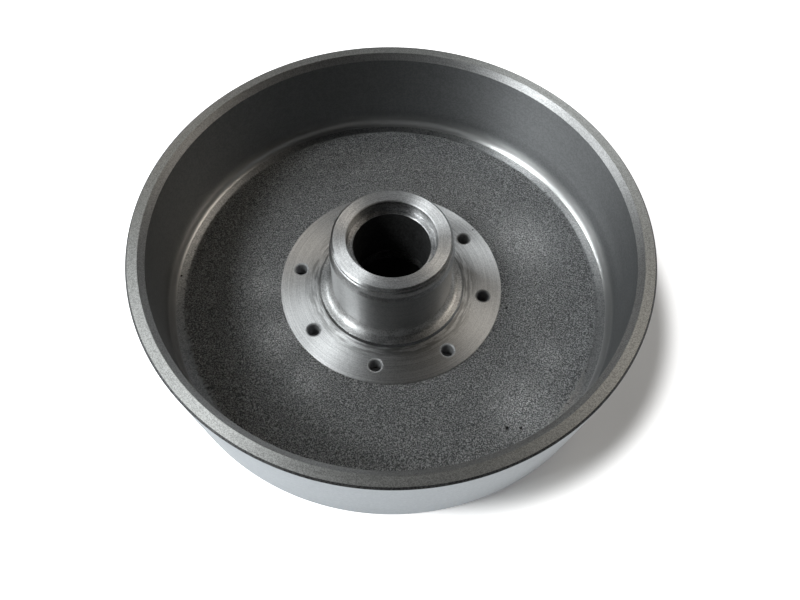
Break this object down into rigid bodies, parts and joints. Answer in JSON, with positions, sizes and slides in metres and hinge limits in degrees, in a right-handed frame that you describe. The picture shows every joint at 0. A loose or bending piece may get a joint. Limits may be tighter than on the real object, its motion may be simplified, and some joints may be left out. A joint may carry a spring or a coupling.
{
  "type": "brake drum",
  "caption": "Round cast brake drum with a stepped hub rising inside it, a bolt circle round the hub and a chamfered mouth.",
  "frame": {"origin": "centre of the mounting face on the closed back, on the axis of rotation", "axes": "+Z along the axis of rotation, towards the open mouth; a bolt hole lies on +X"},
  "size_m": [0.268, 0.268, 0.065],
  "materials": {
    "cast_iron": "turned faces bright and bare, the floor as cast"
  },
  "bodies": {
    "root": {"brake_drum": "cast_iron"}
  },
  "joints": []
}
